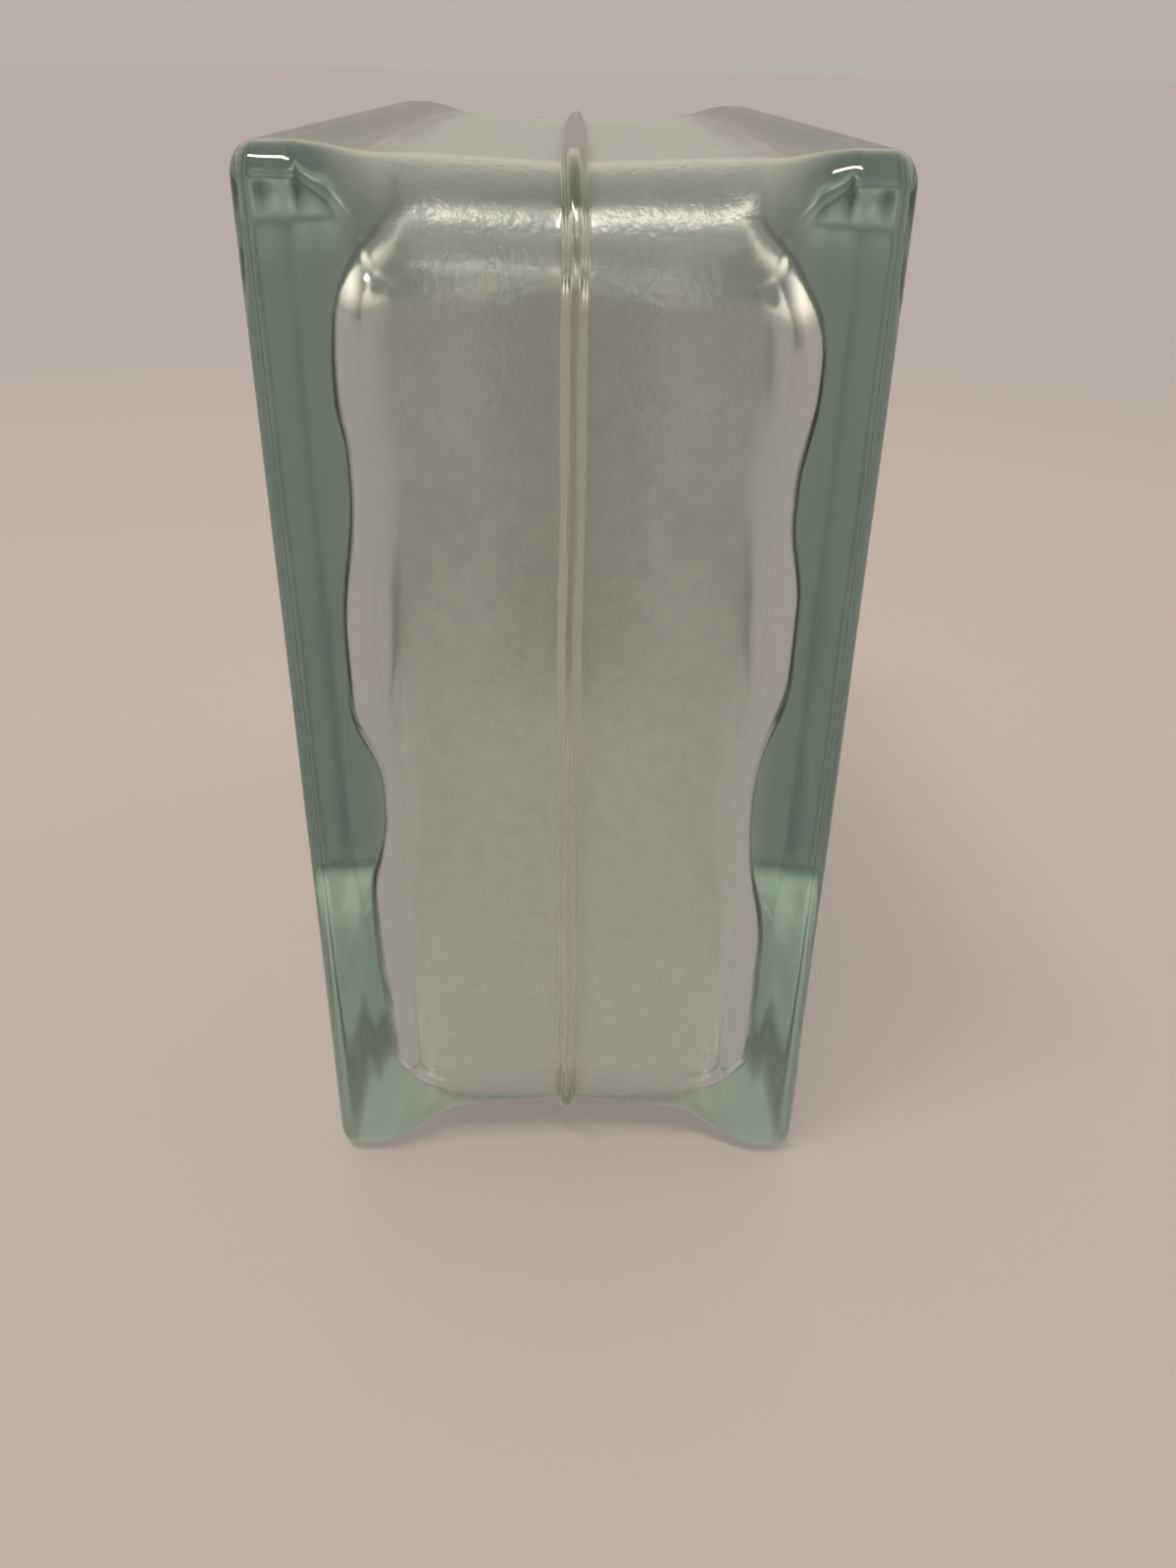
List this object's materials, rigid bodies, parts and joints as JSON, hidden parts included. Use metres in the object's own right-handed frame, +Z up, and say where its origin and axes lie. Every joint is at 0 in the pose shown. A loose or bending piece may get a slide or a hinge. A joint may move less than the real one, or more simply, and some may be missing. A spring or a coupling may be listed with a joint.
{
  "type": "glass block",
  "caption": "Hollow square glass wall block, fused from two pressed halves, with a shallow mortar key round its edges, a seam bead and rippled inner faces.",
  "frame": {"origin": "bottom centre of the block, on the plane of its two lower feet", "axes": "+X through the wall from face to face, +Y along the course, +Z up; the pictured edge faces -Y"},
  "size_m": [0.0984, 0.1968, 0.1969],
  "materials": {
    "glass": "clear pressed glass with a faint green tint, glossy faces and rims, a thin grainy whitish bond coat on the mortar key"
  },
  "bodies": {
    "root": {"glass_block": "glass"}
  },
  "joints": []
}
